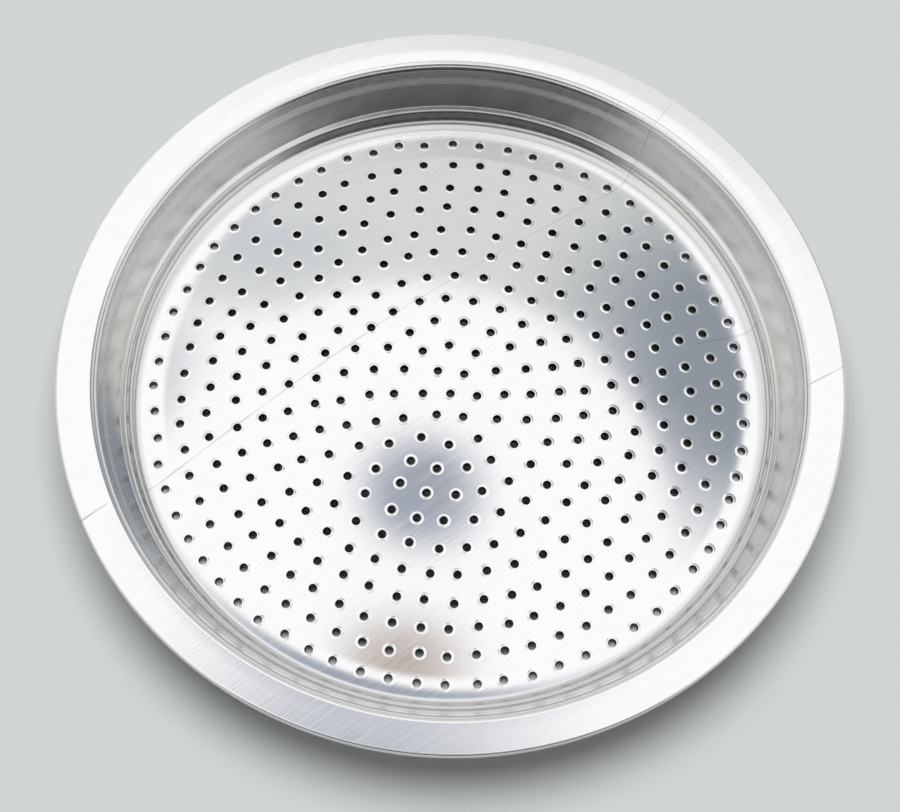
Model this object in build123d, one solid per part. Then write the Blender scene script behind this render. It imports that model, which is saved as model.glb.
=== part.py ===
from build123d import *
import math
import os

# Espresso shower screen, pressed from one aluminium sheet and pierced.
# Millimetres, +Z up. The origin is the centre of the circle on which the screen
# stands, so the crowned, pierced bottom is low and the flat rim is on top.

# Sheet and flat rim. The rim's width runs in to the corner of wall and rim.
sheet_thickness = 0.6
overall_height = 5.7
rim_diameter = 58.0
rim_width = 2.9
rim_edge_round = 0.2

# Sloping wall of the dish. Angles are measured from the horizontal.
wall_angle = 64.0
shoulder_bend_radius = 0.2

# Narrow ledge at the foot of the wall, and the steep step below it
ledge_width = 0.45
ledge_angle = 28.0
wall_foot_bend_radius = 0.3
ledge_bend_radius = 0.1
step_height = 1.55
step_angle = 64.0
step_foot_bend_radius = 0.4

# Flat land on which the dish stands, and the crown that rises inside it
land_width = 1.05
crown_rise = 2.15
crown_foot_bend_radius = 1.0

# Holes: one in the middle, then rings of six, twelve, eighteen and so on
hole_diameter = 0.65
hole_pitch = 2.0
land_margin = 0.6
holes_per_ring_step = 6
first_ring_turn = 1.1
ring_turn = 1.5

# The hole cutters stand out of both faces of the sheet by this much
cutter_margin = 0.3


def rise(width, degrees):
    """Height gained over this width by a face at this slope."""
    return width * math.tan(math.radians(degrees))


def run(height, degrees):
    """Width over which a face at this slope gains this height."""
    return height / math.tan(math.radians(degrees))


# Corners of the upper face, as radius and height, from the outside in. Each is
# rounded later by the bend of its name.
ledge_z = sheet_thickness + step_height
wall_foot_z = ledge_z + rise(ledge_width, ledge_angle)

rim_edge = (rim_diameter / 2, overall_height)
shoulder = (rim_edge[0] - rim_width, overall_height)
wall_foot = (shoulder[0] - run(overall_height - wall_foot_z, wall_angle), wall_foot_z)
ledge_edge = (wall_foot[0] - ledge_width, ledge_z)
step_foot = (ledge_edge[0] - run(step_height, step_angle), sheet_thickness)

# The bend at the crown's foot is an arc tangent to the land and to the crown's sphere
land_start = (step_foot[0] - land_width, sheet_thickness)
foot_centre = (land_start[0], sheet_thickness + crown_foot_bend_radius)
centre_distance = (land_start[0] ** 2 + crown_rise**2) / (2 * crown_rise)
crown_radius = centre_distance - crown_foot_bend_radius
crown_centre = (0, sheet_thickness + crown_rise - crown_radius)
crown_half_angle = math.degrees(math.asin(land_start[0] / centre_distance))
crown_reach = crown_radius * math.sin(math.radians(crown_half_angle))

# As many rings as leave the outermost holes this far inside the step's foot
pierced_radius = step_foot[0] - land_margin - hole_diameter / 2
ring_count = math.floor(pierced_radius / hole_pitch)


def deeper_corner(corner, slope_in, slope_out, depth):
    """Where the two faces at a corner meet when both lie this much deeper."""
    first = math.radians(slope_in)
    second = math.radians(slope_out)
    share = depth / (1 + math.cos(second - first))
    across = share * (math.sin(first) + math.sin(second))
    down = share * (math.cos(first) + math.cos(second))
    return (corner[0] + across, corner[1] - down)


def sheet_line(depth):
    """Line at this depth in the sheet, from the middle of the crown to the rim's edge.

    A bend that is hollow from above widens with depth and the others tighten, so all
    such lines are parallel and the sheet has one thickness.
    """
    foot_radius = crown_foot_bend_radius + depth
    crown = CenterArc(crown_centre, crown_radius - depth, 90, -crown_half_angle)
    foot = CenterArc(foot_centre, foot_radius, 270 - crown_half_angle, crown_half_angle)
    bends = FilletPolyline(
        (land_start[0], land_start[1] - depth),
        deeper_corner(step_foot, 0, step_angle, depth),
        deeper_corner(ledge_edge, step_angle, ledge_angle, depth),
        deeper_corner(wall_foot, ledge_angle, wall_angle, depth),
        deeper_corner(shoulder, wall_angle, 0, depth),
        (rim_edge[0], rim_edge[1] - depth),
        radius=[
            step_foot_bend_radius + depth,
            ledge_bend_radius + sheet_thickness - depth,
            wall_foot_bend_radius + depth,
            shoulder_bend_radius + sheet_thickness - depth,
        ],
    )
    return Wire([*crown.edges(), *foot.edges(), *bends.edges()])


def pressed_sheet():
    """The sheet before it is pierced: one section of even thickness, turned about Z."""
    upper = sheet_line(0)
    lower = sheet_line(sheet_thickness)
    axis_end = Line(upper @ 0, lower @ 0)
    rim_end = Line(upper @ 1, lower @ 1)
    section = make_face([*upper.edges(), *lower.edges(), axis_end, rim_end])
    rim_corners = section.vertices().group_by(Axis.X)[-1].sort_by(Axis.Y)
    section = fillet(rim_corners[-1], rim_edge_round)
    return revolve(Plane.XZ * section, Axis.Z, 360)


def sheet_place(radius):
    """Height of the upper face at this radius, and its tilt away from the axis."""
    if radius > land_start[0]:
        return sheet_thickness, 0
    if radius > crown_reach:
        tilt = math.asin((foot_centre[0] - radius) / crown_foot_bend_radius)
        return foot_centre[1] - crown_foot_bend_radius * math.cos(tilt), math.degrees(tilt)
    tilt = math.asin(radius / crown_radius)
    return crown_centre[1] + crown_radius * math.cos(tilt), math.degrees(tilt)


def hole_cutters():
    """A round cutter at each hole, square to the sheet where it stands."""
    length = sheet_thickness + 2 * cutter_margin
    cutter = Pos(0, 0, -sheet_thickness / 2) * Cylinder(hole_diameter / 2, length)
    cutters = [Pos(0, 0, sheet_place(0)[0]) * cutter]
    for ring in range(1, ring_count + 1):
        radius = hole_pitch * ring
        height, tilt = sheet_place(radius)
        ring_cutter = Pos(radius, 0, height) * Rot(0, tilt, 0) * cutter
        start = first_ring_turn + ring_turn * (ring - 1)
        count = holes_per_ring_step * ring
        for index in range(count):
            cutters.append(Rot(0, 0, start + 360 * index / count) * ring_cutter)
    return cutters


def shower_screen():
    """The finished screen: the pressed sheet with every hole pierced."""
    return pressed_sheet() - hole_cutters()


os.makedirs("parts", exist_ok=True)
screen = shower_screen()
export_step(screen, "parts/shower_screen.step")
print("rings", ring_count, "crown radius", round(crown_radius, 1), "volume", round(screen.volume, 1))
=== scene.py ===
import math

import bpy
import numpy as np
from mathutils import Euler, Matrix, Vector


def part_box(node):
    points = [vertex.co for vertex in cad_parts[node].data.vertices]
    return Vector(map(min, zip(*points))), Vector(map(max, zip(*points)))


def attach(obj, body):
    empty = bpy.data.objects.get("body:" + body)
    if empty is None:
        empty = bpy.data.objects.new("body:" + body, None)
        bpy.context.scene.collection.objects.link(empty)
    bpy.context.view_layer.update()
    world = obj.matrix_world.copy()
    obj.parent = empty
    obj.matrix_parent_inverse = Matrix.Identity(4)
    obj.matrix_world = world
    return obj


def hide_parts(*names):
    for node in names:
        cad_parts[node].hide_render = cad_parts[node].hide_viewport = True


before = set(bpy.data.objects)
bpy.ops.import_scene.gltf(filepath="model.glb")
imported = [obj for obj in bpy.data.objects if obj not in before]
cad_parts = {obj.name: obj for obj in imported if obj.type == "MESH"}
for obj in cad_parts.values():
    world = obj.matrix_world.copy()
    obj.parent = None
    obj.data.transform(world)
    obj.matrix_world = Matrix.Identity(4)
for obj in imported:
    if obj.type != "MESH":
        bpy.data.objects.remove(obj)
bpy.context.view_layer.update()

bl_info = {
    "name": "Espresso shower screen",
    "version": (1, 0, 0),
    "blender": (4, 5, 0),
    "location": "3D View > Sidebar > Shower screen",
    "description": "Dresses the packed screen: pressed and pierced aluminium, floor and light",
    "category": "Object",
}

MM = 0.001
NODE = "shower_screen"
RIM_RADIUS = (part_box(NODE)[1][0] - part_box(NODE)[0][0]) / 2
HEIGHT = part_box(NODE)[1][2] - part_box(NODE)[0][2]


def linear(hex_colour):
    """Linear red, green and blue of an sRGB colour written as #rrggbb."""
    channels = [int(hex_colour[i : i + 2], 16) / 255 for i in (1, 3, 5)]
    return tuple(c / 12.92 if c <= 0.04045 else ((c + 0.055) / 1.055) ** 2.4 for c in channels)


def size(name, description, millimetres):
    """A length that a user may change, given in millimetres and kept in metres."""
    return bpy.props.FloatProperty(
        name=name, description=description, default=millimetres * MM, unit="LENGTH", precision=5
    )


def turn(name, description, degrees):
    """An angle that a user may change, given in degrees and kept in radians."""
    return bpy.props.FloatProperty(
        name=name, description=description, default=math.radians(degrees), subtype="ANGLE"
    )


def share(name, description, default, highest=1.0):
    """A plain number from nought to its highest value."""
    return bpy.props.FloatProperty(
        name=name, description=description, default=default, min=0.0, max=highest
    )


def colour(name, description, hex_colour):
    """A colour that a user may change, given as an sRGB hex value."""
    return bpy.props.FloatVectorProperty(
        name=name, description=description, default=linear(hex_colour), size=3,
        subtype="COLOR", min=0.0, max=1.0,
    )


class PressedSheetSizes(bpy.types.PropertyGroup):
    """Sizes of the pressed sheet before it is pierced.

    The last five turn its normals and all but leave its surface in place. They shape
    what it mirrors, because so bright a sheet shows falls too small to measure.
    """

    rim_radius: size("Rim radius", "Radius of the rim's outer edge", RIM_RADIUS / MM)
    height: size("Height", "From the floor to the top of the rim", HEIGHT / MM)
    thickness: size("Sheet", "Thickness of the sheet", 0.6)
    rim_width: size("Rim width", "From the rim's edge in to the corner of wall and rim", 2.9)
    rim_edge_round: size("Rim edge", "Rounding of the rim's upper edge", 0.2)
    rim_burr_round: size("Rim burr", "Rounding of the rim's lower edge", 0.06)
    wall_slope: turn("Wall", "Slope of the dish's wall", 64.0)
    shoulder_bend: size("Shoulder bend", "Inner radius of the bend from wall to rim", 0.2)
    ledge_width: size("Ledge width", "Width of the ledge at the wall's foot", 0.45)
    ledge_slope: turn("Ledge", "Slope of the ledge", 28.0)
    foot_bend: size("Wall foot bend", "Inner radius of the bend from ledge to wall", 0.3)
    ledge_bend: size("Ledge bend", "Inner radius of the bend from step to ledge", 0.1)
    step_height: size("Step height", "Height of the step from the land to the ledge", 1.55)
    step_slope: turn("Step", "Slope of the step", 64.0)
    step_bend: size("Step foot bend", "Inner radius of the bend from land to step", 0.4)
    land_width: size("Land width", "Width of the flat land round the crown", 1.05)
    crown_rise: size("Crown rise", "Height of the crown's middle above the land", 2.15)
    crown_bend: size("Crown foot bend", "Inner radius of the bend from crown to land", 1.0)
    edge_roll: size("Edge roll", "Radius of the gloss's roll from the crown to the land", 12.0)
    land_fall: turn("Land's fall", "Outward fall of the land's gloss", 1.5)
    step_roll: turn("Step's roll", "Slope of the gloss where the step's foot bend ends", 13.0)
    rim_fall: turn("Rim's fall", "Outward fall of the rim's gloss", 1.3)
    rim_lean: turn("Rim's lean", "Lean of the rim's gloss along Y", 1.4)


class PiercingSizes(bpy.types.PropertyGroup):
    """Sizes and places of the holes and of the lips that the punches raised."""

    pitch: size("Pitch", "Distance from one ring of holes to the next", 2.0)
    rings: bpy.props.IntProperty(
        name="Rings", description="Rings of holes round the middle hole", default=11, min=1
    )
    per_step: bpy.props.IntProperty(
        name="Holes per step", description="Holes that each ring has more than the last",
        default=6, min=3,
    )
    first_turn: turn("First ring", "Turn of the first ring of holes", 1.1)
    ring_turn: turn("Ring turn", "Turn of each ring from the one inside it", 1.5)
    hole_radius: size("Hole radius", "Radius of a hole's mouth, inside its burr", 0.31)
    lip_radius: size("Lip radius", "Radius of the crest of the raised lip", 0.355)
    skirt_radius: size("Skirt radius", "Radius at which the lip's skirt meets the sheet", 0.55)
    lip_height: size("Lip height", "Usual height of the lip's crest above the sheet", 0.02)
    entry_round: size("Entry round", "Rounding where the punch went in, below", 0.08)
    wander: size("Wander", "Spread of the holes about their true places", 0.075)
    seam: size("Seam", "Half the width of the plain strip between two rings", 0.1)
    seed: bpy.props.IntProperty(name="Seed", description="Start of the random draws", default=7)


class SheetFinish(bpy.types.PropertyGroup):
    """Colour and surface of the rolled aluminium."""

    metal: colour("Metal", "Colour of bright rolled aluminium", "#e6e6e7")
    dull: colour("Dull metal", "Colour of the rolling lines and of the rubbed wall", "#c3c4c4")
    # The bores' dark grey is partly the dull torn metal and partly painted shade that darkens the
    # holes
    bore_and_shade: colour("Bores", "Colour of the torn metal inside a hole", "#58595a")
    scratch: colour("Scratches", "Colour in a scratch", "#77787a")
    rolling: turn("Rolling direction", "Turn of the rolling lines from the X axis", 39.0)
    roughness: share("Roughness", "Roughness of the sheet between its rolling lines", 0.08)
    line_depth: size("Line depth", "Depth of the rolling lines and of the drawn marks", 0.0012)
    wall_roughness: share("Wall roughness", "How much rougher the drawn wall is", 0.14)
    mark_height: size("Tool mark", "Height of the press tool's mark on the wall", 4.45)


class StudioLook(bpy.types.PropertyGroup):
    """Colours and strengths of the floor and of the light round it."""

    floor: colour("Floor", "Colour of the matt floor", "#d9dcdd")
    seen: share("Room", "Strength of the room as the camera and the metal see it", 1.23, 4.0)
    fill: share("Fill light", "Strength of the light that the walls give", 0.2, 4.0)
    panel: share("Panel light", "Strength of the lamp in the panel's place", 2.3, 9.0)


def slope_normal(slope):
    """Normal of a face that rises outward at this slope, as radius and height: (-sin, cos)."""
    return np.stack([-np.sin(slope), np.cos(slope)], axis=-1)


class Section:
    """The sheet's section, as arcs that straight faces join.

    A point of an arc at depth d in the sheet is its centre + (radius - d) * normal(slope).
    A radius is negative where the arc is hollow from above, so all depths are parallel.
    """

    def __init__(self, s):
        ledge_z = s.thickness + s.step_height
        foot_z = ledge_z + s.ledge_width * math.tan(s.ledge_slope)
        shoulder = np.array([s.rim_radius - s.rim_width, s.height])
        foot = np.array([shoulder[0] - (s.height - foot_z) / math.tan(s.wall_slope), foot_z])
        ledge = np.array([foot[0] - s.ledge_width, ledge_z])
        step = np.array([ledge[0] - s.step_height / math.tan(s.step_slope), s.thickness])
        self.sizes = s
        self.land_start = step[0] - s.land_width
        reach = (self.land_start**2 + s.crown_rise**2) / (2 * s.crown_rise)
        self.crown_radius = reach - s.crown_bend
        self.crown_z = s.thickness + s.crown_rise - self.crown_radius
        self.crown_slope = math.asin(self.land_start / reach)
        self.crown_edge = self.crown_radius * math.sin(self.crown_slope)
        self.step = self.bend(step, 0.0, s.step_slope, -s.step_bend)
        self.ledge = self.bend(ledge, s.step_slope, s.ledge_slope, s.ledge_bend + s.thickness)
        self.foot = self.bend(foot, s.ledge_slope, s.wall_slope, -s.foot_bend)
        self.shoulder = self.bend(shoulder, s.wall_slope, 0.0, s.shoulder_bend + s.thickness)

    def bend(self, corner, slope_in, slope_out, radius):
        """Centre, radius and end slopes of the arc that rounds a corner of the upper face.

        It starts |radius| * tan(half the turn) before the corner, on the face that
        comes in, and its centre lies at the radius from there, square to that face.
        """
        back = abs(radius) * math.tan(abs(slope_out - slope_in) / 2)
        start = corner - back * np.array([math.cos(slope_in), math.sin(slope_in)])
        return start - radius * slope_normal(slope_in), radius, slope_in, slope_out

    def surface(self, rho, depth):
        """Height and slope at this distance from the axis, on crown, crown foot bend or land.

        On a circle of radius R about (c, h) the slope is the arcsine of (rho - c) / R,
        negative on the crown, and the height is h plus or minus R * cos(slope). The land
        is level.
        """
        crown = self.crown_radius - depth
        bend = self.sizes.crown_bend + depth
        crown_slope = -np.arcsin(np.minimum(rho / crown, 1))
        bend_slope = np.arcsin(np.clip((rho - self.land_start) / bend, -1, 0))
        on_crown = crown_slope > -self.crown_slope
        slope = np.where(on_crown, crown_slope, bend_slope)
        crown_z = self.crown_z + crown * np.cos(slope)
        bend_z = self.sizes.thickness + self.sizes.crown_bend - bend * np.cos(slope)
        return np.where(on_crown, crown_z, bend_z), slope

    def gloss_slope(self, rho):
        """Slope that the gloss has at this distance from the axis, inside the step.

        It is the crown's slope, arcsin(rho / R), up to where a roll of large radius takes it
        evenly down to the land's fall at the land's outer end.
        """
        crown = np.arcsin(np.minimum(rho / self.crown_radius, 1))
        to_go = np.maximum(self.step[0][0] - rho, 0)
        return -np.minimum(crown, self.sizes.land_fall + to_go / self.sizes.edge_roll)

    def arc(self, bend, depth, steps):
        """Points and normals along one arc at this depth, evenly spaced in slope."""
        centre, radius, slope_in, slope_out = bend
        normals = slope_normal(np.linspace(slope_in, slope_out, steps + 1))
        return centre + (radius - depth) * normals, normals


def upward(plan, rho, slope):
    """Normals over plan points at rho from the axis where the sheet rises at this slope.

    It is the section's normal, turned to the point's own direction from the axis.
    """
    outward = plan / np.maximum(rho, 1e-12)[..., None]
    across = -np.sin(slope)[..., None] * outward
    return np.concatenate([across, np.cos(slope)[..., None]], axis=-1)


def on_sheet(section, plan, depth):
    """Points on the sheet over or under plan points, with the normals that its gloss has."""
    rho = np.linalg.norm(plan, axis=-1)
    height, _ = section.surface(rho, depth)
    points = np.concatenate([plan, height[..., None]], axis=-1)
    return points, upward(plan, rho, section.gloss_slope(rho))


def polar(radius, angle):
    """Plan points at this distance and direction from the axis."""
    return np.stack([radius * np.cos(angle), radius * np.sin(angle)], axis=-1)


# Each hole stands in a four-sided cell of the sheet. These are the twelve points of its edge,
# from the outer side round, sideways and outward as shares of half the cell's width and height.
CELL_SIDE = np.array([1 / 3, 1, 1, 1, 1, 1 / 3, -1 / 3, -1, -1, -1, -1, -1 / 3])
CELL_OUT = np.roll(CELL_SIDE, -3)
EDGES_PER_SIDE = 3

# A row of points round a hole has as many, spread evenly.
ROUND = len(CELL_SIDE)
ROUND_ANGLES = (np.arange(ROUND) + 0.5) * 2 * math.pi / ROUND

# No hole lies further off its place along an axis than this many spreads, and a lip's height
# lies between these shares of the usual one.
WANDER_LIMIT = 2.4
LIP_GROWTH = (0.55, 1.35)

# Numbers of the sheet's materials, and the bands of a cell's faces, counted in from its edge,
# that the punch tore and that get painted shade: the inner half of the lip's curl, and the bore.
ROLLED, TORN_AND_SHADED = 0, 1
TORN_AND_SHADED_BANDS = (4, 5)


def hole_plan(section, p):
    """Where the holes are: directions and places of their centres, and the edges of their cells.

    Ring k lies at k times the pitch and has k times the holes per step. Its cells share
    the ring's band evenly, and those of the last ring have corners on both ends of the
    crown's foot bend. Each hole lies near its cell's middle, a little off by a normal
    random draw. The middle hole's cell is a disc. The last value is each lip's growth.
    """
    steps = np.arange(1, p.rings + 1)
    ring = np.repeat(steps, p.per_step * steps)
    first = np.repeat(p.per_step * (np.cumsum(steps) - steps), p.per_step * steps)
    half = math.pi / (p.per_step * ring)
    angle = p.first_turn + p.ring_turn * (ring - 1) + 2 * half * (np.arange(len(ring)) - first)
    reach = p.pitch * ring[:, None] + CELL_OUT * (p.pitch / 2 - p.seam)
    on_bend = (ring[:, None] == p.rings) & (np.abs(CELL_OUT) < 1)
    bend_end = np.where(CELL_OUT > 0, section.land_start, section.crown_edge)
    reach = np.where(on_bend, bend_end, reach)
    edges = polar(reach, angle[:, None] + CELL_SIDE * half[:, None])
    middle = polar(np.full(ROUND, p.pitch / 2 - p.seam), ROUND_ANGLES)

    draws = np.random.default_rng(p.seed)
    limit = WANDER_LIMIT * p.wander
    off = np.clip(draws.normal(0, p.wander, (len(ring) + 1, 2)), -limit, limit)
    angle = np.append(0.0, angle)
    place = polar(np.append(0.0, p.pitch * ring), angle) + off
    growth = draws.uniform(*LIP_GROWTH, len(angle))
    return angle, place, np.concatenate([middle[None], edges]), growth


def lip_rows(p):
    """Distance from the hole's axis, height and tilt of the lip, row by row from the sheet in.

    The skirt is a smooth step, height * (3 t^2 - 2 t^3), and the crest rounds into the
    hole along a quarter circle. The tilt is the angle of the slope, positive towards
    the hole. The quarter circle's heights are given apart, because they don't grow
    with the lip.
    """
    skirt = p.skirt_radius - p.lip_radius
    inner = p.lip_radius - p.hole_radius
    curl = np.radians([0, 45, 90])
    on_skirt = [p.skirt_radius, p.lip_radius + skirt / 2]
    reach = np.concatenate([on_skirt, p.lip_radius - inner * np.sin(curl)])
    grown = np.array([0, 0.5, 1, 1, 1])
    fixed = np.concatenate([[0, 0], -inner * (1 - np.cos(curl))])
    tilt = np.concatenate([[0, -math.atan(1.5 * p.lip_height / skirt)], curl])
    return reach, grown, fixed, tilt


def pierced_cells(section, p):
    """One closed patch of sheet for each hole: top, lip, wall of the hole and underside.

    Every patch is a grid of rows round the hole. A row's points lie at a distance d from the
    hole's own axis, which is square to the sheet, in the plan direction
    d * (cos a * cos(slope) outward, sin a sideways), and are then lifted along the
    sheet's normal. The normal turns from the sheet's towards the axis by the tilt.
    """
    thickness = section.sizes.thickness
    angle, place, edges, growth = hole_plan(section, p)
    reach = np.linalg.norm(place, axis=-1)
    axis = upward(place, reach, section.surface(reach, 0.0)[1])
    spoke = np.stack([np.cos(angle), np.sin(angle)], axis=-1)[:, None]
    side = np.stack([-np.sin(angle), np.cos(angle)], axis=-1)[:, None]
    lean = axis[:, None, 2:]
    flat = np.cos(ROUND_ANGLES)[:, None] * lean * spoke + np.sin(ROUND_ANGLES)[:, None] * side

    def row(reach, lift, tilt, depth, sign):
        """Points and normals of one row, on the upper face (sign 1) or the lower one (-1)."""
        centre = (place - depth * axis[:, :2])[:, None]
        points, up = on_sheet(section, centre + reach * flat, depth)
        away = np.concatenate([flat, np.zeros_like(flat[..., :1])], axis=-1)
        away -= (away * up).sum(-1, keepdims=True) * up
        away /= np.linalg.norm(away, axis=-1, keepdims=True)
        return points + lift * up, sign * math.cos(tilt) * up - math.sin(tilt) * away

    rows = [on_sheet(section, edges, 0.0)]
    for reach, grown, fixed, tilt in zip(*lip_rows(p)):
        lift = (grown * p.lip_height * growth + fixed)[:, None, None]
        rows.append(row(reach, lift, tilt, 0.0, 1))
    rows.append(row(p.hole_radius, p.entry_round, math.pi / 2, thickness, 1))
    rows.append(row(p.hole_radius + p.entry_round, 0.0, 0.0, thickness, -1))
    under, up = on_sheet(section, edges, thickness)
    rows.append((under, -up))
    points = np.stack([r[0] for r in rows], axis=1)
    normals = np.stack([r[1] for r in rows], axis=1)

    cell, band, spot = np.indices((len(place), len(rows) - 1, ROUND))
    here = (cell * len(rows) + band) * ROUND
    after = (spot + 1) % ROUND
    corners = [here + spot, here + after, here + ROUND + after, here + ROUND + spot]
    faces = np.stack(corners, axis=-1).reshape(-1, 4)
    # The torn bands get the dark material, whose colour is partly painted shade in the holes
    materials = np.where(np.isin(band, TORN_AND_SHADED_BANDS), TORN_AND_SHADED, ROLLED).ravel()
    return points.reshape(-1, 3), normals.reshape(-1, 3), faces, materials


def strip(section, inner, outer, depth):
    """Triangles that join two circles with different numbers of evenly spaced points.

    Each circle is its radius, its first angle and its number of points. An edge of one
    circle takes, as its third corner, the point of the other that has been reached when
    both circles are walked together in the order of the middles of their edges.
    """
    angles = []
    for radius, start, count in (inner, outer):
        step = 2 * math.pi / count
        angles.append(start % step + step * np.arange(count))
    plan = [polar(circle[0], a) for circle, a in zip((inner, outer), angles)]
    points, normals = on_sheet(section, np.concatenate(plan), depth)
    middles = [a + math.pi / len(a) for a in angles]
    n, m = inner[2], outer[2]
    i, j = np.arange(n), np.arange(m)
    reached_out = np.searchsorted(middles[1], middles[0]) % m
    reached_in = np.searchsorted(middles[0], middles[1], side="right") % n
    first = np.stack([i, n + reached_out, (i + 1) % n], axis=-1)
    second = np.stack([n + j, n + (j + 1) % m, reached_in], axis=-1)
    faces = np.concatenate([first, second])
    materials = np.full(len(faces), ROLLED)
    if depth > 0:
        return points, -normals, faces[:, ::-1], materials
    return points, normals, faces, materials


# Points in each circle of the turned dish, and steps in its arcs: those of the step, ledge,
# wall foot and shoulder, above and below, and those of the rim's edge and burr.
ROUND_ABOUT = 240
STEPS_ABOVE = (5, 4, 4, 6)
STEPS_BELOW = (6, 2, 5, 4)
EDGE_STEPS, BURR_STEPS = 5, 2

# The part of the rim's width, from its edge in, whose gloss leans, and how nearly its normals
# point up.
LEANING_SHARE = 0.6
NEARLY_UP = 0.99


def turned_rows(section):
    """Section of the dish outside the holes, from the step's foot round the rim and back below.

    It gives points, normals, and how far each normal leans along Y.
    """
    s = section.sizes
    parts = (section.step, section.ledge, section.foot, section.shoulder)
    above = [section.arc(part, 0.0, steps) for part, steps in zip(parts, STEPS_ABOVE)]
    below = [section.arc(part, s.thickness, steps) for part, steps in zip(parts, STEPS_BELOW)]
    foot = above[0][0]
    above[0] = (foot, slope_normal(np.linspace(-s.land_fall, s.step_roll, len(foot))))

    rim = np.array([[s.rim_radius - s.rim_width / 2, s.height]])
    edge_centre = np.array([s.rim_radius, s.height]) - s.rim_edge_round
    edge = (edge_centre, s.rim_edge_round, -s.rim_fall, -math.pi / 2)
    burr_z = s.height - s.thickness + s.rim_burr_round
    burr_centre = np.array([s.rim_radius - s.rim_burr_round, burr_z])
    burr = (burr_centre, s.rim_burr_round, -math.pi / 2, -math.pi)
    above.append((rim, slope_normal(np.array([-s.rim_fall]))))
    above += [section.arc(edge, 0.0, EDGE_STEPS), section.arc(burr, 0.0, BURR_STEPS)]

    points = np.concatenate([r[0] for r in above] + [r[0][::-1] for r in below[::-1]])
    normals = np.concatenate([r[1] for r in above] + [-r[1][::-1] for r in below[::-1]])
    outer = points[:, 0] > s.rim_radius - LEANING_SHARE * s.rim_width
    return points, normals, np.where(outer & (normals[:, 1] > NEARLY_UP), s.rim_lean, 0)


def turned_sheet(section):
    """The turned part of the dish: each point of the section goes round the axis in a circle."""
    profile, slopes, lean = turned_rows(section)
    angle = 2 * math.pi * np.arange(ROUND_ABOUT) / ROUND_ABOUT
    spoke = np.stack([np.cos(angle), np.sin(angle)], axis=-1)

    def round_axis(pairs):
        """Pairs of radius and height, each carried round the axis."""
        plan = pairs[:, None, :1] * spoke
        height = np.broadcast_to(pairs[:, None, 1:], plan.shape[:2] + (1,))
        return np.concatenate([plan, height], axis=-1).reshape(-1, 3)

    row, spot = np.indices((len(profile) - 1, ROUND_ABOUT))
    here = row * ROUND_ABOUT
    beyond = here + ROUND_ABOUT
    after = (spot + 1) % ROUND_ABOUT
    faces = np.stack([here + spot, beyond + spot, beyond + after, here + after], axis=-1)
    normals = round_axis(slopes)
    normals[:, 1] += np.repeat(lean, ROUND_ABOUT)
    normals /= np.linalg.norm(normals, axis=1, keepdims=True)
    return round_axis(profile), normals, faces.reshape(-1, 4), np.full(row.size, ROLLED)


def whole_sheet(sizes, p):
    """All surfaces of the screen: pierced cells, strips between their rings, and turned dish."""
    section = Section(sizes)
    parts = [pierced_cells(section, p)]
    gap = p.pitch / 2 - p.seam
    inner = (gap, ROUND_ANGLES[0], ROUND)
    for ring in range(1, p.rings + 1):
        half = math.pi / (p.per_step * ring)
        start = p.first_turn + p.ring_turn * (ring - 1) - half
        count = EDGES_PER_SIDE * p.per_step * ring
        outer = (p.pitch * ring - gap, start, count)
        parts += [strip(section, inner, outer, depth) for depth in (0.0, sizes.thickness)]
        inner = (p.pitch * ring + gap, start, count)
    last = (section.step[0][0], 0.0, ROUND_ABOUT)
    parts += [strip(section, inner, last, depth) for depth in (0.0, sizes.thickness)]
    parts.append(turned_sheet(section))
    return parts


# Points are made one where they agree to this length.
GRAIN = 1e-6 * MM


def welded_mesh(name, parts):
    """One mesh from surfaces of points, normals, faces and the faces' materials.

    Points at one place are made one.
    """
    points = np.concatenate([part[0] for part in parts])
    normals = np.concatenate([part[1] for part in parts])
    materials = np.concatenate([part[3] for part in parts])
    starts = np.cumsum([0] + [len(part[0]) for part in parts])
    places = np.round(points / GRAIN).astype(np.int64)
    _, kept, merged = np.unique(places, axis=0, return_index=True, return_inverse=True)
    merged = merged.reshape(-1)
    faces = [merged[part[2] + start] for part, start in zip(parts, starts)]
    corners = np.concatenate([f.reshape(-1) for f in faces])
    sides = np.concatenate([np.full(len(f), f.shape[1]) for f in faces])
    loop_starts = np.cumsum(sides) - sides

    mesh = bpy.data.meshes.new(name)
    mesh.vertices.add(len(kept))
    mesh.loops.add(len(corners))
    mesh.polygons.add(len(sides))
    mesh.vertices.foreach_set("co", points[kept].astype(np.float32).ravel())
    mesh.loops.foreach_set("vertex_index", corners.astype(np.int32))
    mesh.polygons.foreach_set("loop_start", loop_starts.astype(np.int32))
    mesh.polygons.foreach_set("material_index", materials.astype(np.int32))
    mesh.update(calc_edges=True)
    if mesh.validate():
        raise RuntimeError(f"the mesh {name} was not sound")
    mesh.shade_smooth()
    mesh.normals_split_custom_set_from_vertices(normals[kept])
    return mesh


def add_node(tree, kind, inputs=(), output=0, **settings):
    """Adds one node with its settings, sets or links its inputs, and gives one of its outputs.

    Inputs are given in the order of the sockets, or by their names or numbers. With None for
    the output, the node itself is given.
    """
    node = tree.nodes.new(kind)
    for key, value in settings.items():
        setattr(node, key, value)
    for key, value in inputs.items() if isinstance(inputs, dict) else enumerate(inputs):
        if isinstance(value, bpy.types.NodeSocket):
            tree.links.new(value, node.inputs[key])
        else:
            node.inputs[key].default_value = value
    return node if output is None else node.outputs[output]


def new_material(name):
    """An empty node material and its tree."""
    material = bpy.data.materials.new(name)
    material.use_nodes = True
    material.node_tree.nodes.clear()
    return material, material.node_tree


# Length and width of the grains in the sheet's patterns. Real rolling lines and drawn marks are
# a few hundredths of a millimetre wide, and are drawn coarser here so that they show. The drawn
# marks run round the wall, so the width of their grains is a height.
FINE_LINES = (2.5 * MM, 0.14 * MM)
BROAD_LINES = (5.0 * MM, 0.3 * MM)
SCRATCH_BREAKS = (2.5 * MM, 2.5 * MM)
DRAWN_MARKS = (12.0 * MM, 0.15 * MM)
LINE_NOISE = 0.6

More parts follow.
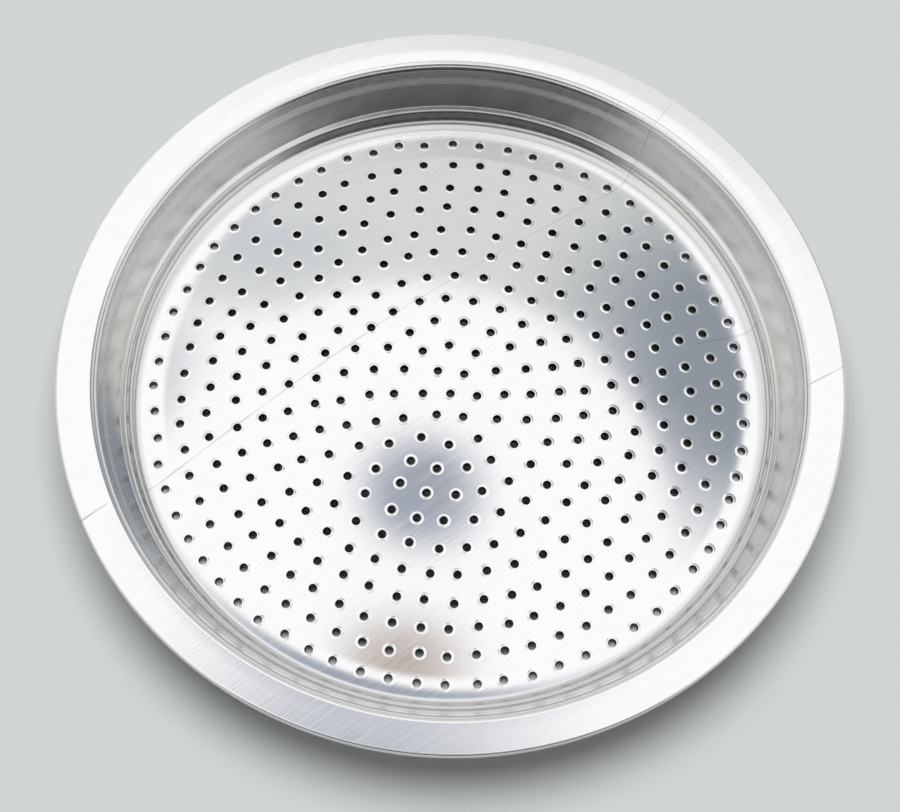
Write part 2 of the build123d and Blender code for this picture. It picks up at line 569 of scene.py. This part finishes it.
# The values of the noise over which fine lines get duller, broad ones rougher and a scratch
# stronger, and how strong a scratch is where it is faintest
FINE_SPAN = (0.5, 0.8)
BROAD_SPAN = (0.35, 0.7)
BREAK_SPAN = (0.35, 0.6)
FAINTEST = 0.4

# Distances from the axis over which the drawn wall's surface begins and ends, heights over
# which it gets darker towards its top and its foot, and distances from the middle of the
# tool's mark over which that fades
WALL_BEGINS = (22.9 * MM, 23.3 * MM)
WALL_ENDS = (26.1 * MM, 26.5 * MM)
DARKER_TOP = (4.7 * MM, 5.4 * MM)
DARKER_FOOT = (2.4 * MM, 3.4 * MM)
MARK_FADES = (0.06 * MM, 0.35 * MM)

# How much of the dull colour a rolling line, the wall, and its darker top and foot have
LINE_DULLNESS = 0.14
WALL_DULLNESS = 0.15
TOP_AND_FOOT_DULLNESS = 0.45

# How much rougher broad rolling lines, the tool's mark and a scratch are
LINE_ROUGHNESS = 0.04
MARK_ROUGHNESS = 0.2
SCRATCH_ROUGHNESS = 0.2

# Scratches, each straight in plan: both ends in mm, and how strongly it shows
SCRATCHES = (
    ((-26.32, -13.35), (-24.13, -11.50), 0.8),
    ((-22.02, -8.49), (-4.15, 6.74), 0.45),
    ((-4.15, 6.74), (11.94, 19.08), 0.2),
    ((11.94, 19.08), (13.32, 20.80), 0.25),
    ((13.32, 20.80), (14.13, 21.94), 0.6),
    ((14.13, 21.94), (15.58, 23.98), 0.2),
    ((26.17, 1.12), (29.02, 2.92), 0.5),
    ((17.75, 5.87), (23.05, 7.76), 0.3),
)

# Distances over which a scratch fades, from its middle line and from its end, and how far up a
# face has to look to bear one
SCRATCH_SIDE = (0.02 * MM, 0.08 * MM)
SCRATCH_END = (-0.3 * MM, 0.1 * MM)
LOOKS_UP = (0.0, 0.1)


def rolled_aluminium(finish):
    """Bright rolled aluminium sheet: it mirrors the room a little softly, and fine straight
    rolling lines and a few long scratches run across its mirror. Its wall, which the press
    drew, is duller, with marks round it."""
    material, tree = new_material("rolled aluminium sheet")
    place = add_node(tree, "ShaderNodeTexCoord", output="Object")
    height = add_node(tree, "ShaderNodeSeparateXYZ", (place,), output="Z")
    plan = add_node(tree, "ShaderNodeVectorMath", (place, (1, 1, 0)), operation="MULTIPLY")
    rho = add_node(tree, "ShaderNodeVectorMath", (plan,), output="Value", operation="LENGTH")
    rolled = add_node(
        tree, "ShaderNodeVectorRotate",
        {"Vector": place, "Axis": (0, 0, 1), "Angle": -finish.rolling}, rotation_type="AXIS_ANGLE",
    )

    def lines(grain, detail):
        """Noise drawn out along the rolling direction, in grains of this length and width."""
        length, width = grain
        stretch = (1 / length, 1 / width, 1 / length)
        drawn_out = add_node(tree, "ShaderNodeVectorMath", (rolled, stretch), operation="MULTIPLY")
        look = {"Vector": drawn_out, "Scale": 1.0, "Detail": detail, "Roughness": LINE_NOISE}
        return add_node(tree, "ShaderNodeTexNoise", look, output="Fac")

    fine = lines(FINE_LINES, 1.0)
    broad = lines(BROAD_LINES, 2.0)
    breaks = lines(SCRATCH_BREAKS, 1.0)

    begun = add_node(tree, "ShaderNodeMapRange", (rho, *WALL_BEGINS, 0, 1))
    not_ended = add_node(tree, "ShaderNodeMapRange", (rho, *WALL_ENDS, 1, 0))
    wall = add_node(tree, "ShaderNodeMath", (begun, not_ended), operation="MULTIPLY")
    length, width = DRAWN_MARKS
    stretch = (1 / length, 1 / length, 1 / width)
    drawn_out = add_node(tree, "ShaderNodeVectorMath", (place, stretch), operation="MULTIPLY")
    look = {"Vector": drawn_out, "Scale": 1.0, "Detail": 1.0}
    drawn = add_node(tree, "ShaderNodeTexNoise", look, output="Fac")
    relief = add_node(
        tree, "ShaderNodeMix", {"Factor": wall, 2: fine, 3: drawn}, data_type="FLOAT"
    )

    # The wall takes more of the dull colour towards its top and its foot
    top = add_node(tree, "ShaderNodeMapRange", (height, *DARKER_TOP, 0.0, TOP_AND_FOOT_DULLNESS))
    foot = add_node(tree, "ShaderNodeMapRange", (height, *DARKER_FOOT, TOP_AND_FOOT_DULLNESS, 0.0))
    darkened = add_node(tree, "ShaderNodeMath", (top, foot), operation="ADD")
    darkened = add_node(tree, "ShaderNodeMath", (darkened, WALL_DULLNESS), operation="ADD")
    darkened = add_node(tree, "ShaderNodeMath", (wall, darkened), operation="MULTIPLY")
    above = add_node(tree, "ShaderNodeMath", (height, finish.mark_height), operation="SUBTRACT")
    from_mark = add_node(tree, "ShaderNodeMath", (above,), operation="ABSOLUTE")
    near_mark = add_node(tree, "ShaderNodeMapRange", (from_mark, *MARK_FADES, 1, 0))
    mark = add_node(tree, "ShaderNodeMath", (wall, near_mark), operation="MULTIPLY")

    def scratch(start, end, strength):
        """One scratch: it covers a point by how near it is to the line between both ends."""
        middle = ((start[0] + end[0]) * MM / 2, (start[1] + end[1]) * MM / 2, 0)
        half = math.dist(start, end) * MM / 2
        heading = math.atan2(end[1] - start[1], end[0] - start[0])
        off = add_node(tree, "ShaderNodeVectorMath", (place, middle), operation="SUBTRACT")
        off = add_node(
            tree, "ShaderNodeVectorRotate",
            {"Vector": off, "Axis": (0, 0, 1), "Angle": -heading}, rotation_type="AXIS_ANGLE",
        )
        off = add_node(tree, "ShaderNodeVectorMath", (off,), operation="ABSOLUTE")
        off = add_node(tree, "ShaderNodeSeparateXYZ", (off,), output=None).outputs
        ends = [half + margin for margin in SCRATCH_END]
        along = add_node(tree, "ShaderNodeMapRange", (off["X"], *ends, 1, 0))
        across = add_node(tree, "ShaderNodeMapRange", (off["Y"], *SCRATCH_SIDE, strength, 0))
        return add_node(tree, "ShaderNodeMath", (along, across), operation="MULTIPLY")

    scratched = scratch(*SCRATCHES[0])
    for one in SCRATCHES[1:]:
        either = (scratched, scratch(*one))
        scratched = add_node(tree, "ShaderNodeMath", either, operation="MAXIMUM")
    broken = add_node(tree, "ShaderNodeMapRange", (breaks, *BREAK_SPAN, FAINTEST, 1.0))
    facing = add_node(tree, "ShaderNodeNewGeometry", output="Normal")
    facing_up = add_node(tree, "ShaderNodeSeparateXYZ", (facing,), output="Z")
    on_top = add_node(tree, "ShaderNodeMapRange", (facing_up, *LOOKS_UP, 0, 1))
    for part in (broken, on_top):
        scratched = add_node(tree, "ShaderNodeMath", (scratched, part), operation="MULTIPLY")

    lined = add_node(tree, "ShaderNodeMapRange", (fine, *FINE_SPAN, 0.0, LINE_DULLNESS))
    tone = (*finish.metal, 1)
    covers = ((lined, finish.dull), (darkened, finish.dull), (scratched, finish.scratch))
    for cover, over in covers:
        tone = add_node(
            tree, "ShaderNodeMix", {"Factor": cover, 6: tone, 7: (*over, 1)},
            output=2, data_type="RGBA",
        )
    roughest = finish.roughness + LINE_ROUGHNESS
    rough = add_node(
        tree, "ShaderNodeMapRange", (broad, *BROAD_SPAN, finish.roughness, roughest)
    )
    covers = (
        (wall, finish.wall_roughness), (mark, MARK_ROUGHNESS), (scratched, SCRATCH_ROUGHNESS)
    )
    for cover, more in covers:
        added = add_node(tree, "ShaderNodeMath", (cover, more), operation="MULTIPLY")
        rough = add_node(tree, "ShaderNodeMath", (rough, added), operation="ADD")
    bump = add_node(
        tree, "ShaderNodeBump", {"Height": relief, "Distance": finish.line_depth, "Strength": 1.0}
    )
    shader = add_node(
        tree, "ShaderNodeBsdfPrincipled",
        {"Base Color": tone, "Metallic": 1.0, "Roughness": rough, "Normal": bump},
    )
    add_node(tree, "ShaderNodeOutputMaterial", {"Surface": shader}, output=None)
    return material


# Size of the grains of torn metal inside a hole, and the metal's roughness
TORN_GRAIN = 0.1 * MM
TORN_ROUGHNESS = (0.4, 0.6)


def torn_aluminium_and_shade(finish):
    """Aluminium torn by the punch inside a hole: dull metal, with a dark grey that is painted
    shade in the hole, so the holes look dark.
    """
    material, tree = new_material("torn aluminium and painted shade in the holes")
    place = add_node(tree, "ShaderNodeTexCoord", output="Object")
    look = {"Vector": place, "Scale": 1 / TORN_GRAIN, "Detail": 2.0}
    grain = add_node(tree, "ShaderNodeTexNoise", look, output="Fac")
    rough = add_node(tree, "ShaderNodeMapRange", (grain, 0.0, 1.0, *TORN_ROUGHNESS))
    shader = add_node(
        tree, "ShaderNodeBsdfPrincipled",
        {"Base Color": (*finish.bore_and_shade, 1), "Metallic": 1.0, "Roughness": rough},
    )
    add_node(tree, "ShaderNodeOutputMaterial", {"Surface": shader}, output=None)
    return material


def matt_board(look):
    """Matt pale board: the floor, with no pattern of its own."""
    material, tree = new_material("matt pale board")
    shader = add_node(
        tree, "ShaderNodeBsdfPrincipled", {"Base Color": (*look.floor, 1), "Roughness": 0.9}
    )
    add_node(tree, "ShaderNodeOutputMaterial", {"Surface": shader}, output=None)
    return material


# The room is white but for these patches. Each is a disc in the degrees of a direction, drawn
# out where its stretch along an axis is less than 1. It has its full colour up to the first
# reach from its middle, and none beyond the second. A later patch covers an earlier one.
# On PLAN a direction is its degrees from straight up, to the right and away from the camera.
# On AROUND it is its degrees round from the camera's side, to the right, and from straight up.
PLAN, AROUND = "plan", "around"
PANEL_AT = (-3, 12)
PANEL_REACH = (21.5, 24.3)
ROOM = (
    (AROUND, "#8a8b88", (0, 64), (0, 1), 6, 10),
    (AROUND, "#b9b9ae", (-72, 67), (0.2, 1), 5, 11),
    (AROUND, "#b9b9ae", (72, 67), (0.2, 1), 5, 11),
    (AROUND, "#383838", (4, 75), (0.56, 1), 25, 29),
    (PLAN, "#404040", (0, -27), (0.35, 1), 8, 11),
    (AROUND, "#f2f2e8", (-122, 46), (0.3, 1), 3, 10),
    (PLAN, "#d7d9d6", (-4, 48.5), (0.4, 1), 15.5, 19.5),
    (PLAN, "#c6cbd2", (-16, 38.5), (0.5, 1), 0, 5),
    (PLAN, "#8f969f", (27, 31), (0.9, 0.9), 7, 22),
    (AROUND, "#f2f2e8", (120, 48), (0.4, 1), 3, 9),
    (PLAN, "#d3d6d9", (-29, 27), (1, 0.7), 3, 10),
    (PLAN, "#ffffff", PANEL_AT, (1, 1), *PANEL_REACH),
    (PLAN, "#9da3af", (-2, 14.5), (1, 1), 2.5, 7.5),
    (PLAN, "#bcb0a9", (-2.8, -1.5), (0.8, 1), 1, 7),
)


def studio_world(look):
    """A white room with a lamp panel overhead and duller patches about it.

    The camera and the metal see the room. The floor gets the same light from all round.
    """
    world = bpy.data.worlds.new("soft studio")
    world.use_nodes = True
    tree = world.node_tree
    tree.nodes.clear()

    way = add_node(tree, "ShaderNodeTexCoord", output="Generated")
    parts = add_node(tree, "ShaderNodeSeparateXYZ", (way,), output=None).outputs
    from_top = add_node(tree, "ShaderNodeMath", (parts["Z"],), operation="ARCCOSINE")
    from_top = add_node(tree, "ShaderNodeMath", (from_top,), operation="DEGREES")
    level = add_node(tree, "ShaderNodeVectorMath", (way, (1, 1, 0)), operation="MULTIPLY")
    level = add_node(tree, "ShaderNodeVectorMath", (level,), operation="NORMALIZE")
    near = add_node(tree, "ShaderNodeMath", (parts["Y"], -1.0), operation="MULTIPLY")
    to_right = add_node(tree, "ShaderNodeMath", (parts["X"], near), operation="ARCTAN2")
    to_right = add_node(tree, "ShaderNodeMath", (to_right,), operation="DEGREES")
    maps = {
        PLAN: add_node(
            tree, "ShaderNodeVectorMath", {0: level, "Scale": from_top}, operation="SCALE"
        ),
        AROUND: add_node(tree, "ShaderNodeCombineXYZ", (to_right, from_top)),
    }

    def cover(where, middle, stretch, inner, outer):
        """How much a patch covers: 1 within its inner reach and 0 beyond its outer reach."""
        off = add_node(
            tree, "ShaderNodeVectorMath", (maps[where], (*middle, 0)), operation="SUBTRACT"
        )
        off = add_node(tree, "ShaderNodeVectorMath", (off, (*stretch, 0)), operation="MULTIPLY")
        away = add_node(tree, "ShaderNodeVectorMath", (off,), output="Value", operation="LENGTH")
        return add_node(
            tree, "ShaderNodeMapRange", (away, inner, outer, 1.0, 0.0),
            interpolation_type="SMOOTHSTEP",
        )

    shade = (1, 1, 1, 1)
    for where, hex_colour, *place in ROOM:
        shade = add_node(
            tree, "ShaderNodeMix",
            {"Factor": cover(where, *place), 6: shade, 7: (*linear(hex_colour), 1)},
            output=2, data_type="RGBA",
        )
    room = add_node(tree, "ShaderNodeBackground", {"Color": shade, "Strength": look.seen})
    light = add_node(
        tree, "ShaderNodeBackground", {"Color": (1, 1, 1, 1), "Strength": look.fill}
    )
    seen = add_node(tree, "ShaderNodeLightPath", output=None).outputs
    either = add_node(
        tree, "ShaderNodeMath", (seen["Is Glossy Ray"], seen["Is Transmission Ray"]),
        operation="MAXIMUM",
    )
    either = add_node(
        tree, "ShaderNodeMath", (seen["Is Camera Ray"], either), operation="MAXIMUM"
    )
    both = add_node(tree, "ShaderNodeMixShader", (either, light, room))
    add_node(tree, "ShaderNodeOutputWorld", {"Surface": both}, output=None)
    return world


def panel_lamp(look):
    """Lamp that lights the floor from the panel's place, as wide as the panel is seen.

    Metal doesn't mirror it, because the room that the metal mirrors has the panel already.
    """
    data = bpy.data.lights.new("panel overhead", "SUN")
    data.energy = look.panel
    data.angle = math.radians(sum(PANEL_REACH))
    lamp = bpy.data.objects.new("panel overhead", data)
    lamp.visible_glossy = False
    to_right, away = PANEL_AT
    lamp.rotation_euler = (-math.radians(away), math.radians(to_right), 0)
    return lamp


# Half the floor's side in metres
FLOOR_REACH = 0.75


def board_floor(look):
    """The floor: one square board under the screen."""
    ways = ((-1, -1), (1, -1), (1, 1), (-1, 1))
    corners = [(x * FLOOR_REACH, y * FLOOR_REACH, 0) for x, y in ways]
    mesh = bpy.data.meshes.new("floor")
    mesh.from_pydata(corners, [], [(0, 1, 2, 3)])
    mesh.materials.append(matt_board(look))
    return bpy.data.objects.new("floor", mesh)


def photo_camera(sizes):
    """Camera at the photograph's angle, aimed at the middle of the crown.

    It stands at the distance that the rings of holes give, raised above the horizon, and
    turned about its own axis. The shift puts the crown's middle at its place in the frame.
    """
    frame_width = 900
    focal = 3464
    raised = math.radians(66.05)
    rolled = math.radians(3.43)
    distance = 256.6 * MM
    crown_at = (450.47, 393.86)
    frame_middle = (450, 406)
    target = Vector((0, 0, sizes.thickness + sizes.crown_rise))

    data = bpy.data.cameras.new("camera")
    data.sensor_width = 36
    data.lens = focal * data.sensor_width / frame_width
    data.shift_x = -(crown_at[0] - frame_middle[0]) / frame_width
    data.shift_y = (crown_at[1] - frame_middle[1]) / frame_width
    data.clip_start = 0.01
    camera = bpy.data.objects.new("camera", data)
    back = Vector((0, -math.cos(raised), math.sin(raised)))
    facing = Euler((math.pi / 2 - raised, 0, 0)).to_matrix() @ Matrix.Rotation(rolled, 3, "Z")
    camera.matrix_world = Matrix.Translation(target + distance * back) @ facing.to_4x4()
    return camera


class SHOWER_OT_sheet(bpy.types.Operator):
    """Make the pressed and pierced aluminium sheet in place of the plain CAD solid"""

    bl_idname = "shower_screen.sheet"
    bl_label = "Make the pierced sheet"

    def execute(self, context):
        scene = context.scene
        parts = whole_sheet(scene.screen_sheet, scene.screen_holes)
        mesh = welded_mesh("shower_screen_sheet", parts)
        piece = bpy.data.objects.new("shower_screen_sheet", mesh)
        scene.collection.objects.link(piece)
        mesh.materials.append(rolled_aluminium(scene.screen_finish))
        mesh.materials.append(torn_aluminium_and_shade(scene.screen_finish))
        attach(piece, "root")
        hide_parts("shower_screen")
        return {"FINISHED"}


class SHOWER_OT_stage(bpy.types.Operator):
    """Lay the floor, light it and set the camera at the photograph's angle"""

    bl_idname = "shower_screen.stage"
    bl_label = "Set the stage"

    def execute(self, context):
        scene = context.scene
        look = scene.screen_studio
        floor = board_floor(look)
        camera = photo_camera(scene.screen_sheet)
        for one in (floor, panel_lamp(look), camera):
            scene.collection.objects.link(one)
        scene.world = studio_world(look)
        scene.camera = camera
        scene.view_settings.view_transform = "Standard"
        return {"FINISHED"}


class SHOWER_PT_panel(bpy.types.Panel):
    """Lists the shower screen's operators and values in the 3D view's sidebar"""

    bl_idname = "SHOWER_PT_panel"
    bl_label = "Shower screen"
    bl_space_type = "VIEW_3D"
    bl_region_type = "UI"
    bl_category = "Shower screen"

    def draw(self, context):
        for operator in (SHOWER_OT_sheet, SHOWER_OT_stage):
            self.layout.operator(operator.bl_idname)
        for group in SETTINGS:
            settings = getattr(context.scene, group)
            box = self.layout.box()
            for key in settings.bl_rna.properties.keys():
                if key not in ("rna_type", "name"):
                    box.prop(settings, key)


SETTINGS = {
    "screen_sheet": PressedSheetSizes,
    "screen_holes": PiercingSizes,
    "screen_finish": SheetFinish,
    "screen_studio": StudioLook,
}
CLASSES = (*SETTINGS.values(), SHOWER_OT_sheet, SHOWER_OT_stage, SHOWER_PT_panel)


def register():
    """Makes the classes known to Blender and gives the scene its settings."""
    for one in CLASSES:
        bpy.utils.register_class(one)
    for name, group in SETTINGS.items():
        setattr(bpy.types.Scene, name, bpy.props.PointerProperty(type=group))


def unregister():
    """Takes the settings and the classes away again."""
    for name in SETTINGS:
        delattr(bpy.types.Scene, name)
    for one in reversed(CLASSES):
        bpy.utils.unregister_class(one)


def main():
    """Registers the add-on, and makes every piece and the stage."""
    register()
    bpy.ops.shower_screen.sheet()
    bpy.ops.shower_screen.stage()


if __name__ == "__main__":
    main()
